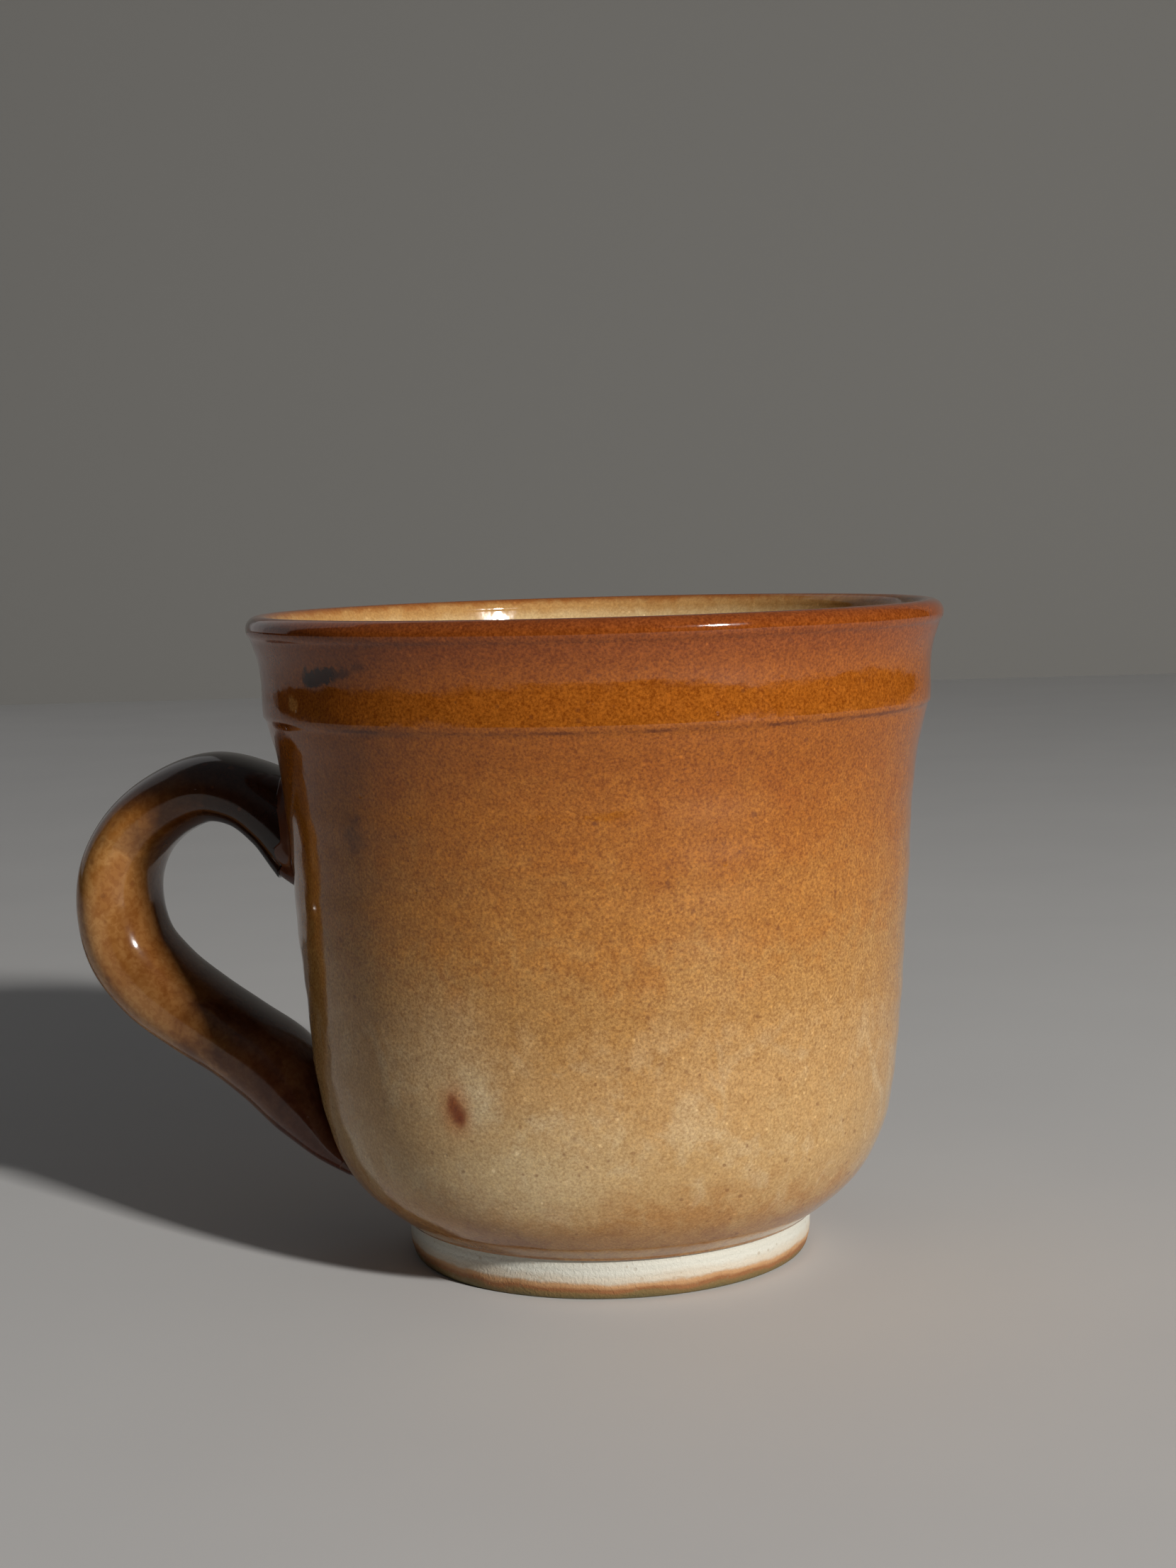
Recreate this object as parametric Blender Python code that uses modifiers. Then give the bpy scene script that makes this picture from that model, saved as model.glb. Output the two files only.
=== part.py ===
"""A wheel-thrown stoneware mug: cup with a raised collar and a rolled lip, turned foot ring, pulled strap handle.

The handle is luted to the cup with slip at both roots. Lengths below are in millimetres until they reach a mesh.
The mug stands on Z = 0 with its handle towards -X, and the middle of its overall box is over the origin.
"""

import math

import bpy
import numpy as np

# Driving dimensions, in millimetres.
HEIGHT = 84.75
RIM_RADIUS = 45.15
LIP_RADIUS = 1.65
FLOOR_TOP = 9.8
FOOT_RADIUS = 26.6
FOOT_HEIGHT = 4.9
FOOT_WALL = 5.6
FOOT_OUTER_EDGE = (1.0, 3.1)
FOOT_INNER_EDGE = (0.8, 1.2)
HANDLE_REACH = 72.3
GAP = 0.3
SLIP_THICKNESS = 1.0
SLIP_MARGIN = 1.4

# Fineness of the solids.
TURNS = 64
SECTION_POINTS = 24
SPAN_STEPS = 2

METRES = 0.001
AXIS_X = (HANDLE_REACH - RIM_RADIUS) / 2
CUP_BOTTOM = FOOT_HEIGHT + GAP

# Outside of the cup as (radius, height): from the glaze line over the foot, round the shoulder and up the wall.
WALL_LINE = (
    (27.3, CUP_BOTTOM + 0.3),
    (30.6, 8.0),
    (33.4, 10.7),
    (35.45, 14.0),
    (37.0, 18.2),
    (38.0, 23.0),
    (39.0, 33.0),
    (39.95, 45.0),
    (40.85, 59.0),
    (41.85, 67.0),
    (42.6, 69.9),
    (42.95, 71.4),
)
# The collar stands a hair proud of the wall and flares into the lip.
COLLAR_LINE = (
    (43.15, 71.75),
    (43.35, 73.4),
    (43.45, 76.4),
    (43.85, 78.9),
    (44.65, 81.9),
)
# Inside of the cup, from the middle of the floor to just under the lip.
BOWL_LINE = (
    (0.0, FLOOR_TOP),
    (16.0, FLOOR_TOP + 0.3),
    (25.0, 11.9),
    (30.4, 15.5),
    (33.2, 21.0),
    (34.5, 28.5),
    (35.9, 42.0),
    (37.1, 59.0),
    (38.7, 71.0),
    (40.4, 78.5),
)
# Middle of the strap as (distance from the mug's axis, height, thickness, width), top root to bottom root.
HANDLE_LINE = (
    (39.0, 54.0, 12.8, 18.4),
    (43.2, 57.8, 10.6, 17.4),
    (47.5, 60.4, 9.4, 16.6),
    (52.6, 61.5, 9.3, 16.2),
    (58.8, 59.4, 9.3, 15.8),
    (63.9, 55.0, 9.8, 15.5),
    (66.5, 49.7, 10.6, 15.3),
    (66.8, 44.7, 11.1, 15.2),
    (65.4, 39.6, 11.5, 15.2),
    (61.8, 34.9, 11.7, 15.4),
    (56.2, 30.6, 11.3, 15.8),
    (50.7, 27.1, 10.9, 16.4),
    (45.2, 23.1, 11.2, 17.2),
    (41.0, 18.3, 9.7, 17.4),
    (37.3, 13.7, 6.0, 16.0),
    (33.6, 10.4, 3.4, 13.0),
)
ROOT_SPANS = 3

CLAY_COLOUR = (0.78, 0.70, 0.58)
GLAZE_COLOUR = (0.42, 0.20, 0.08)
SLIP_COLOUR = (0.20, 0.09, 0.05)


def clear_scene():
    for obj in list(bpy.data.objects):
        bpy.data.objects.remove(obj, do_unlink=True)


def new_collection(name):
    collection = bpy.data.collections.new(name)
    bpy.context.scene.collection.children.link(collection)
    return collection


def new_material(name, colour, roughness):
    material = bpy.data.materials.new(name)
    material.use_nodes = True
    shader = material.node_tree.nodes["Principled BSDF"]
    shader.inputs["Base Color"].default_value = (*colour, 1.0)
    shader.inputs["Roughness"].default_value = roughness
    shader.inputs["Metallic"].default_value = 0.0
    return material


def smooth_through(points, steps=SPAN_STEPS):
    """Cubic spans through the points; each tangent is that of the parabola through a point and its neighbours."""
    points = np.array(points, float)
    chords = np.linalg.norm(np.diff(points[:, :2], axis=0), axis=1)
    slopes = np.diff(points, axis=0) / chords[:, None]
    before, after = chords[:-1, None], chords[1:, None]
    middle = (slopes[:-1] * after + slopes[1:] * before) / (before + after)
    tangents = np.vstack([slopes[:1], middle, slopes[-1:]])
    t = np.linspace(0.0, 1.0, steps, endpoint=False)[:, None]
    rows = []
    for i, chord in enumerate(chords):
        rows.append(
            (2 * t**3 - 3 * t**2 + 1) * points[i]
            + (t**3 - 2 * t**2 + t) * chord * tangents[i]
            + (3 * t**2 - 2 * t**3) * points[i + 1]
            + (t**3 - t**2) * chord * tangents[i + 1]
        )
    return np.vstack([*rows, points[-1:]])


def arc(centre, radii, start, end, steps):
    """Points on an ellipse's arc, angles in degrees anticlockwise from the outward direction."""
    angles = np.radians(np.linspace(start, end, steps + 1))
    return np.array(centre) + np.column_stack([radii[0] * np.cos(angles), radii[1] * np.sin(angles)])


def new_mesh_object(name, vertices, edges, faces, collection, material):
    mesh = bpy.data.meshes.new(name)
    mesh.from_pydata((np.asarray(vertices) * METRES).tolist(), edges, faces)
    if material:
        mesh.materials.append(material)
    obj = bpy.data.objects.new(name, mesh)
    obj.location.x = AXIS_X * METRES
    collection.objects.link(obj)
    return obj


def turn(name, profile, collection, material=None, closed=False):
    """A profile of (radius, height) turned about the mug's axis. It runs up its inner side and down its outer side."""
    profile = np.asarray(profile)
    vertices = np.column_stack([profile[:, 0], np.zeros(len(profile)), profile[:, 1]])
    edges = [(i, i + 1) for i in range(len(profile) - 1)]
    if closed:
        edges.append((len(profile) - 1, 0))
    obj = new_mesh_object(name, vertices, edges, [], collection, material)
    screw = obj.modifiers.new("Turn", "SCREW")
    screw.axis = "Z"
    screw.angle = 2 * math.pi
    screw.steps = TURNS
    screw.render_steps = TURNS
    screw.use_merge_vertices = True
    screw.merge_threshold = 0.00001
    screw.use_smooth_shade = True
    return obj


def loft_strap(name, stations, collection, material=None, margin=0.0):
    """Oval sections of the strap carried along its middle line, each square to the line, with flat ends."""
    line = smooth_through(stations)
    out, height = line[:, 0], line[:, 1]
    along = np.gradient(np.column_stack([out, height]), axis=0)
    along /= np.linalg.norm(along, axis=1)[:, None]
    across = np.column_stack([-along[:, 1], along[:, 0]])
    angles = np.linspace(0.0, 2 * math.pi, SECTION_POINTS, endpoint=False)
    lift = np.outer(line[:, 2] / 2 + margin, np.cos(angles))
    side = np.outer(line[:, 3] / 2 + margin, np.sin(angles))
    x = -(out[:, None] + lift * across[:, :1])
    z = height[:, None] + lift * across[:, 1:]
    vertices = np.stack([x, side, z], axis=-1).reshape(-1, 3)
    ring = np.arange(SECTION_POINTS)
    following = np.roll(ring, -1)
    faces = []
    for row in range(len(line) - 1):
        low, high = row * SECTION_POINTS, (row + 1) * SECTION_POINTS
        faces += np.column_stack([low + ring, low + following, high + following, high + ring]).tolist()
    faces.append(ring[::-1].tolist())
    faces.append((ring + (len(line) - 1) * SECTION_POINTS).tolist())
    obj = new_mesh_object(name, vertices, [], faces, collection, material)
    obj.data.shade_smooth()
    obj.data.set_sharp_from_angle(angle=math.radians(40))
    return obj


def combine(obj, operation, other):
    boolean = obj.modifiers.new(other.name, "BOOLEAN")
    boolean.operation = operation
    boolean.solver = "EXACT"
    boolean.object = other


def outside_line():
    """The cup's outside, from the lip's outermost point down to the glaze line over the foot."""
    return np.vstack([smooth_through(WALL_LINE), smooth_through(COLLAR_LINE)])[::-1]


def wall_grown_by(offset, name, collection):
    """A solid of revolution that stands off the cup's wall by the offset, used only to trim the handle and slip."""
    line = outside_line()
    along = np.gradient(line, axis=0)
    along /= np.linalg.norm(along, axis=1)[:, None]
    line = line + offset * np.column_stack([-along[:, 1], along[:, 0]])
    top, bottom = (0.0, line[0, 1]), (0.0, line[-1, 1])
    obj = turn(name, np.vstack([top, line, bottom]), collection)
    obj.hide_render = True
    obj.display_type = "WIRE"
    return obj


def make_cup(collection, material):
    lip_middle = (RIM_RADIUS - LIP_RADIUS, HEIGHT - LIP_RADIUS)
    lip = arc(lip_middle, (LIP_RADIUS, LIP_RADIUS), 180, -30, 7)
    base = [(WALL_LINE[0][0] - GAP, CUP_BOTTOM), (0.0, CUP_BOTTOM)]
    profile = np.vstack([smooth_through(BOWL_LINE), lip, outside_line(), base])
    return turn("cup_body", profile, collection, material)


def make_foot_ring(collection, material):
    inner = FOOT_RADIUS - FOOT_WALL
    outer_edge = arc((FOOT_RADIUS - FOOT_OUTER_EDGE[0], FOOT_OUTER_EDGE[1]), FOOT_OUTER_EDGE, 0, -90, 4)
    inner_edge = arc((inner + FOOT_INNER_EDGE[0], FOOT_INNER_EDGE[1]), FOOT_INNER_EDGE, -90, -180, 3)
    top = [(inner, FOOT_HEIGHT), (FOOT_RADIUS, FOOT_HEIGHT)]
    return turn("foot_ring", np.vstack([top, outer_edge, inner_edge]), collection, material, closed=True)


def make_handle(collection, cutters, material):
    handle = loft_strap("handle", HANDLE_LINE, collection, material)
    combine(handle, "DIFFERENCE", wall_grown_by(SLIP_THICKNESS + 2 * GAP, "handle_trim", cutters))
    return handle


def make_slip_joint(name, stations, collection, cutters, material):
    """The layer of slip squeezed between a root of the handle and the wall, a little wider than the root."""
    joint = loft_strap(name, stations, collection, material, margin=SLIP_MARGIN)
    combine(joint, "INTERSECT", wall_grown_by(SLIP_THICKNESS + GAP, name + "_outside", cutters))
    combine(joint, "DIFFERENCE", wall_grown_by(GAP, name + "_inside", cutters))
    return joint


def main():
    clear_scene()
    mug = new_collection("stoneware_mug")
    cutters = new_collection("cutters")
    glaze = new_material("glaze", GLAZE_COLOUR, 0.15)
    handle_glaze = new_material("handle_glaze", GLAZE_COLOUR, 0.15)
    clay = new_material("bare_clay", CLAY_COLOUR, 0.7)
    slip = new_material("slip", SLIP_COLOUR, 0.2)
    make_cup(mug, glaze)
    make_foot_ring(mug, clay)
    make_handle(mug, cutters, handle_glaze)
    make_slip_joint("upper_slip_joint", HANDLE_LINE[:ROOT_SPANS], mug, cutters, slip)
    make_slip_joint("lower_slip_joint", HANDLE_LINE[-ROOT_SPANS - 1 :], mug, cutters, slip)


main()
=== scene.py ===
# %% [markdown]
# # A thrown stoneware mug
# A potter makes this mug from five pieces of clay: a cup thrown on the wheel, a foot turned under it, a
# strap pulled for the handle, and the slip that lutes each root of the strap to the wall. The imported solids
# of those pieces are the frame. They fix every size and place, and this lesson gives each piece its fine
# surface and glaze.

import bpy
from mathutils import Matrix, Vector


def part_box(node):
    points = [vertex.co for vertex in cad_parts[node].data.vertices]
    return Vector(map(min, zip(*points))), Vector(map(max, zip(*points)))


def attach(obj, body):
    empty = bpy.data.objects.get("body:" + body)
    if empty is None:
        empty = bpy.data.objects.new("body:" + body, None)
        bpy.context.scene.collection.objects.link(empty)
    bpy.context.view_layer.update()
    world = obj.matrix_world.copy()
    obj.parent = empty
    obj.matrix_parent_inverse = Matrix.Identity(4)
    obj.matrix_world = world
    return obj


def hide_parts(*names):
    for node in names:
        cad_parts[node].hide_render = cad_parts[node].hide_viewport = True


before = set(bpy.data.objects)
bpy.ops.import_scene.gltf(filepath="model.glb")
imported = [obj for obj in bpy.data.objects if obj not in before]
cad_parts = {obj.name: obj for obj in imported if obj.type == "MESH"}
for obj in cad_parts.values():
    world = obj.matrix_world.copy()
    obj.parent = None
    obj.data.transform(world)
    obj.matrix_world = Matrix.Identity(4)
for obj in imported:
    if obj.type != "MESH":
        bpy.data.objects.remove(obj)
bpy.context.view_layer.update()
print("pieces of the frame:", sorted(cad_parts))

# %% [markdown]
# Blender works in metres, and a potter thinks in millimetres. Shapes below are worked out in millimetres
# with the cup's own axis as the centre line, and one function turns them into metres where the axis stands
# in the frame.

# %% Tools and the sizes that the frame gives
import math

import bpy
import numpy as np
from mathutils import Matrix, Vector

MM = 0.001
cup_low, cup_high = (np.array(corner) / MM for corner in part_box("cup_body"))
foot_low, foot_high = (np.array(corner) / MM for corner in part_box("foot_ring"))
handle_low, handle_high = (np.array(corner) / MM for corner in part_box("handle"))

AXIS_X = (cup_low[0] + cup_high[0]) / 2
RIM_RADIUS = (cup_high[1] - cup_low[1]) / 2
HEIGHT = cup_high[2]
GLAZE_LINE = cup_low[2]
FOOT_RADIUS = (foot_high[1] - foot_low[1]) / 2
HANDLE_REACH = AXIS_X - handle_low[0]
print(f"rim {2 * RIM_RADIUS:.1f} mm wide, {HEIGHT:.1f} mm tall, handle reaches {HANDLE_REACH:.1f} mm")

# %% [markdown]
# ## Lines that a potter draws
# A thrown shape is a line turned about the wheel's axis. A few points say where the wall swells and where
# it flares, and a smooth curve joins them. Straight runs between the points would leave flats, and a single
# Bezier would be hard to aim, so each span is a cubic whose slopes are taken from the points on either
# side.

# %% A smooth curve through a few points
def smooth_through(points, steps=12):
    """Cubic spans through the points, with the slope of a parabola through each point and its neighbours."""
    points = np.array(points, float)
    chords = np.linalg.norm(np.diff(points[:, :2], axis=0), axis=1)[:, None]
    slopes = np.diff(points, axis=0) / chords
    inner = (slopes[:-1] * chords[1:] + slopes[1:] * chords[:-1]) / (chords[:-1] + chords[1:])
    tangents = np.vstack([slopes[:1], inner, slopes[-1:]])
    t = np.linspace(0, 1, steps, endpoint=False)[:, None, None]
    start, end = points[:-1], points[1:]
    rows = (
        (2 * t**3 - 3 * t**2 + 1) * start
        + (t**3 - 2 * t**2 + t) * chords * tangents[:-1]
        + (3 * t**2 - 2 * t**3) * end
        + (t**3 - t**2) * chords * tangents[1:]
    )
    return np.vstack([rows.transpose(1, 0, 2).reshape(-1, points.shape[1]), points[-1:]])


def evenly(line, gap):
    """The same line with points the gap apart, measured along it."""
    run = np.append(0, np.cumsum(np.linalg.norm(np.diff(line, axis=0), axis=1)))
    at = np.linspace(0, run[-1], int(round(run[-1] / gap)) + 1)
    return np.column_stack([np.interp(at, run, column) for column in line.T])


def arc(centre, radii, start, end, steps):
    """Points on an ellipse's arc, in degrees anticlockwise from the outward direction."""
    angles = np.radians(np.linspace(start, end, steps + 1))
    return np.array(centre) + np.column_stack([radii[0] * np.cos(angles), radii[1] * np.sin(angles)])


print("a quarter arc has", len(arc((0, 0), (1, 1), 0, 90, 8)), "points")

# %% [markdown]
# ## From a grid of points to a skin
# Every piece here is a grid: rows along one parameter and columns round the other. One function makes the
# mesh. It joins the columns into a ring, closes the ends on a point, or joins the last row to the first, so
# no edge stays open. The signed volume, a sum of corner determinants, says whether the faces look outwards.

# %% Mesh builder
def quads_between(rows, columns, joined):
    """Corner numbers of the quads of a grid whose columns close into a ring, and its rows too if joined."""
    row = np.arange(rows if joined else rows - 1)[:, None]
    column = np.arange(columns)[None, :]
    below, beside = (row + 1) % rows, (column + 1) % columns
    here, under = row * columns, below * columns
    return np.stack([here + column, under + column, under + beside, here + beside], axis=-1).reshape(-1, 4)


def skin(name, grid, joined=False, run=None):
    """A closed mesh from a (rows, columns, 3) grid in millimetres; open ends close on their middle point."""
    rows, columns = grid.shape[:2]
    points = grid.reshape(-1, 3)
    quads = quads_between(rows, columns, joined)
    faces = quads.tolist()
    values = None if run is None else np.broadcast_to(run, (rows, columns)).reshape(-1)
    if not joined:
        ring = np.arange(columns)
        first, last = len(points), len(points) + 1
        points = np.vstack([points, grid[0].mean(axis=0), grid[-1].mean(axis=0)])
        faces += np.column_stack([ring, np.roll(ring, -1), np.full(columns, first)]).tolist()
        ring = ring + (rows - 1) * columns
        faces += np.column_stack([np.roll(ring, -1), ring, np.full(columns, last)]).tolist()
        if values is not None:
            values = np.append(values, [values[0], values[-1]])
    a, b, c, d = (points[quads[:, i]] for i in range(4))
    if (np.einsum("ij,ij->i", a, np.cross(b, c)) + np.einsum("ij,ij->i", a, np.cross(c, d))).sum() < 0:
        faces = [face[::-1] for face in faces]
    mesh = bpy.data.meshes.new(name)
    mesh.from_pydata(((points + (AXIS_X, 0, 0)) * MM).tolist(), [], faces)
    mesh.shade_smooth()
    if values is not None:
        mesh.attributes.new("run", "FLOAT", "POINT").data.foreach_set("value", values.astype(np.float32))
    piece = bpy.data.objects.new(name, mesh)
    bpy.context.scene.collection.objects.link(piece)
    print(f"{name}: {len(mesh.vertices)} points, {len(mesh.polygons)} faces")
    return piece


def turned(profile, columns, swell=None):
    """A profile of (radius, height) turned about the axis; swell(angle, height) is added to the radius."""
    angle = np.linspace(0, 2 * np.pi, columns, endpoint=False)[None, :]
    radius, height = profile[:, :1], profile[:, 1:2]
    radius = radius + (0 if swell is None else swell(angle, height))
    return np.stack([radius * np.cos(angle), radius * np.sin(angle), height + 0 * angle], axis=-1)


# %% [markdown]
# ## The cup
# The outside runs from the glaze line over the foot, round the shoulder and up a wall that leans out a
# little. A collar stands a hair proud near the top, straight at first and then flaring into a rolled lip. A
# fingertip leaves faint spiral rings in thrown clay, deeper inside than out, so the profile is turned with
# a ripple.

# %% Profile of the cup
WALL_LINE = (
    (27.3, GLAZE_LINE + 0.3), (30.6, 8.0), (33.4, 10.7), (35.45, 14.0), (37.0, 18.2), (38.0, 23.0),
    (39.0, 33.0), (39.95, 45.0), (40.85, 59.0), (41.85, 67.0), (42.6, 69.9), (42.95, 71.4),
)
COLLAR_LINE = ((43.32, 71.75), (43.38, 73.0), (43.43, 76.4), (43.68, 78.7), (44.65, 81.9))
BOWL_LINE = (
    (0.0, 9.8), (16.0, 10.1), (25.0, 11.9), (30.4, 15.5), (33.2, 21.0), (34.5, 28.5),
    (35.9, 42.0), (37.1, 59.0), (38.7, 71.0), (40.4, 78.5),
)
LIP_RADIUS = 1.65
INSIDE_GAP, OUTSIDE_GAP = 1.0, 0.6

lip = arc((RIM_RADIUS - LIP_RADIUS, HEIGHT - LIP_RADIUS), (LIP_RADIUS, LIP_RADIUS), 180, -40, 44)
outside = np.vstack([smooth_through(WALL_LINE), smooth_through(COLLAR_LINE)])[::-1]
underside = np.array([(27.2, GLAZE_LINE + 0.1), (26.9, GLAZE_LINE), (26.0, GLAZE_LINE), (1.0, GLAZE_LINE)])
inside = smooth_through(BOWL_LINE)[1:]
cup_line = np.vstack([evenly(inside, INSIDE_GAP), lip, evenly(outside, OUTSIDE_GAP), underside])
crest = cup_line[:, 1].argmax()
cup_run = np.append(0, np.cumsum(np.linalg.norm(np.diff(cup_line, axis=0), axis=1)))
cup_run = cup_run - cup_run[crest]
print(f"the cup's line has {len(cup_line)} points and runs from {cup_run[0]:.0f} to {cup_run[-1]:.0f} mm")

# %% Turn the cup
COLUMNS = 288
OUTER_RING_PITCH, OUTER_RING_DEPTH = 5.5, 0.035
SLOW_RING_PITCH, SLOW_RING_DEPTH = 17.0, 0.06
INNER_RING_PITCH, INNER_RING_DEPTH = 6.5, 0.16
SMOOTH_BELOW_LIP = 6.0


def throwing_marks(angle, height):
    """Radius added by the fingers: climbing rings that fade towards the lip and the foot."""
    climb = np.sin(2 * np.pi * height / OUTER_RING_PITCH - angle)
    slow = np.sin(2 * np.pi * height / SLOW_RING_PITCH + 2 * np.cos(angle - 0.6))
    fade = np.clip((HEIGHT - 14 - height) / 12, 0, 1) * np.clip((height - 8) / 10, 0, 1)
    return fade * (OUTER_RING_DEPTH * climb + SLOW_RING_DEPTH * slow)


cup_grid = turned(cup_line, COLUMNS, throwing_marks)
above_floor = np.clip(cup_grid[..., 2] - 10, 0, 12) / 12
inner_rings = (cup_run < -SMOOTH_BELOW_LIP)[:, None] * above_floor
ripple = INNER_RING_DEPTH * inner_rings * np.sin(cup_run[:, None] / INNER_RING_PITCH * 2 * np.pi)
spread = 1 + ripple / np.maximum(np.hypot(cup_grid[..., 0], cup_grid[..., 1]), 10)
cup_grid[..., :2] *= spread[..., None]
cup = skin("thrown_cup", cup_grid, run=cup_run[:, None])
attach(cup, "root")
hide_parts("cup_body")

# %% [markdown]
# ## The foot ring
# After a day of drying the mug is turned upside down and a foot is cut under it with a metal tool. The tool
# leaves fine grooves and a soft outer edge. The ring is a closed line turned about the axis, so its rows
# join end to start.

# %% Turn the foot ring
FOOT_WALL = 5.6
FOOT_OUTER_EDGE = (1.0, 3.1)
FOOT_INNER_EDGE = (0.8, 1.2)
FOOT_GAP = 0.22
GROOVE_PITCH, GROOVE_DEPTH = 0.9, 0.02

foot_inner = FOOT_RADIUS - FOOT_WALL
foot_line = np.vstack([
    [(foot_inner, GLAZE_LINE + 0.2), (FOOT_RADIUS, GLAZE_LINE + 0.2)],
    arc((FOOT_RADIUS - FOOT_OUTER_EDGE[0], FOOT_OUTER_EDGE[1]), FOOT_OUTER_EDGE, 0, -90, 16),
    arc((foot_inner + FOOT_INNER_EDGE[0], FOOT_INNER_EDGE[1]), FOOT_INNER_EDGE, -90, -180, 10),
    [(foot_inner, GLAZE_LINE + 0.2)],
])
foot_line = evenly(foot_line, FOOT_GAP)[:-1]


def turning_marks(angle, height):
    """Grooves of the turning tool, a few hundredths of a millimetre deep, down to the soft edge."""
    groove = np.sin(2 * np.pi * height / GROOVE_PITCH + 0.4 * np.sin(3 * angle))
    return -GROOVE_DEPTH * (1 + groove) * (height > 0.6)


foot = skin("turned_foot_ring", turned(foot_line, COLUMNS, turning_marks), joined=True)
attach(foot, "root")
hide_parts("foot_ring")

# %% [markdown]
# ## The strap handle
# A strap is pulled from a lump of wet clay, bent round and pressed on the wall at both ends. It is an oval
# carried along a bent line, and the oval changes on the way: thin and wide on top, full at the grip,
# smeared thin at the lower root. Each lengthwise line of the strap stops just inside the wall, because a
# longer one would show in the cup.

# %% Path of the strap
HANDLE_LINE = (
    (39.0, 54.0, 12.8, 18.4), (43.2, 57.8, 10.6, 17.4), (47.5, 60.4, 9.4, 16.6), (52.6, 61.5, 9.3, 16.2),
    (58.8, 59.4, 9.3, 15.8), (63.9, 55.0, 9.8, 15.5), (66.42, 49.7, 10.6, 15.3), (66.7, 44.7, 11.1, 15.2),
    (65.4, 39.6, 11.5, 15.2), (61.8, 34.9, 11.7, 15.4), (56.2, 30.6, 11.3, 15.8), (50.7, 27.1, 10.9, 16.4),
    (45.2, 23.1, 11.2, 17.2), (41.0, 18.3, 9.7, 17.4), (37.3, 13.7, 6.0, 16.0), (33.6, 10.4, 3.4, 13.0),
)
AROUND = 96
STEPS_PER_SPAN = 40
SQUARENESS = 0.92


def strap_lines(stations, steps):
    """Lengthwise lines of the strap: squared-off ovals set across the path, as (rows, columns, 3)."""
    line = smooth_through(stations, steps)
    along = np.gradient(line[:, :2], axis=0)
    along /= np.linalg.norm(along, axis=1)[:, None]
    angle = np.linspace(0, 2 * np.pi, AROUND, endpoint=False)[None, :]
    lift = np.sign(np.cos(angle)) * np.abs(np.cos(angle)) ** SQUARENESS * line[:, 2:3] / 2
    side = np.sign(np.sin(angle)) * np.abs(np.sin(angle)) ** SQUARENESS * line[:, 3:4] / 2
    out = line[:, 0:1] - lift * along[:, 1:2]
    height = line[:, 1:2] + lift * along[:, 0:1]
    return np.stack([-out, side, height], axis=-1)


def wall_radius(height):
    """Radius of the cup's outside at a height."""
    rising = outside[::-1]
    return np.interp(height, rising[:, 1], rising[:, 0])


def off_the_wall(points):
    """How far points stand outside the cup's wall, in millimetres, along the radius."""
    return np.hypot(points[..., 0], points[..., 1]) - wall_radius(points[..., 2])


strap = strap_lines(HANDLE_LINE, STEPS_PER_SPAN)
print(f"the strap has {len(strap)} ovals of {AROUND} points and reaches {-strap[..., 0].min():.2f} mm")

# %% [markdown]
# Where a lengthwise line crosses the wall is found for all the lines at once: the first row whose distance
# off the wall is more than a given depth, and then a straight interpolation between that row and the one
# before it.

# %% Where the strap meets the wall
def crossing(lines, depth):
    """Fractional row at which each lengthwise line first comes further off the wall than the depth."""
    off = off_the_wall(lines) - depth
    row = np.maximum((off > 0).argmax(axis=0), 1)
    column = np.arange(lines.shape[1])
    before, after = off[row - 1, column], off[row, column]
    return row - 1 + np.clip(-before / (after - before), 0, 1)


def at_rows(lines, rows):
    """Points of the lengthwise lines at fractional rows, given as (any, columns)."""
    low = np.clip(np.floor(rows).astype(int), 0, len(lines) - 2)
    part = (rows - low)[..., None]
    column = np.arange(lines.shape[1])
    return lines[low, column] * (1 - part) + lines[low + 1, column] * part


KEYED_DEPTH = -1.2
STRAP_ROWS = 260
upper_cut = crossing(strap, KEYED_DEPTH)
lower_cut = len(strap) - 1 - crossing(strap[::-1], KEYED_DEPTH)
share = np.linspace(0, 1, STRAP_ROWS)[:, None]
handle_grid = at_rows(strap, upper_cut + (lower_cut - upper_cut) * share)
handle = skin("strap_handle", handle_grid, run=share)
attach(handle, "root")
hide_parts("handle")

# %% [markdown]
# ## The slip joints
# A root is scored, wetted with slip and pressed on, and the clay that squeezes out is smoothed with a damp
# finger. The result is a small hollow curve from the strap to the wall. For each lengthwise line of the
# strap it is a quadratic Bezier: it starts on the strap, aims at the corner where strap and wall meet, and
# ends on the wall.

# %% Fillet between a root and the wall
SLIP_STEPS = 22
WALL_END_SINK, BURIED_END_SINK, BURIED_CORNER_SINK = 0.02, 0.7, 1.0
STRAP_END_SINK_SHARE = 0.12


def on_the_wall(points):
    """Points as (distance round the wall, height), unrolled about the middle of the handle."""
    angle = np.arctan2(points[..., 1], -points[..., 0])
    return np.stack([angle * wall_radius(points[..., 2]), points[..., 2]], axis=-1)


def back_on_the_wall(flat, sink=0.0):
    """The reverse of on_the_wall, the sink deep in the clay."""
    radius = wall_radius(flat[..., 1])
    angle = flat[..., 0] / radius
    radius = radius - sink
    return np.stack([-radius * np.cos(angle), radius * np.sin(angle), flat[..., 1]], axis=-1)


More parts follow.
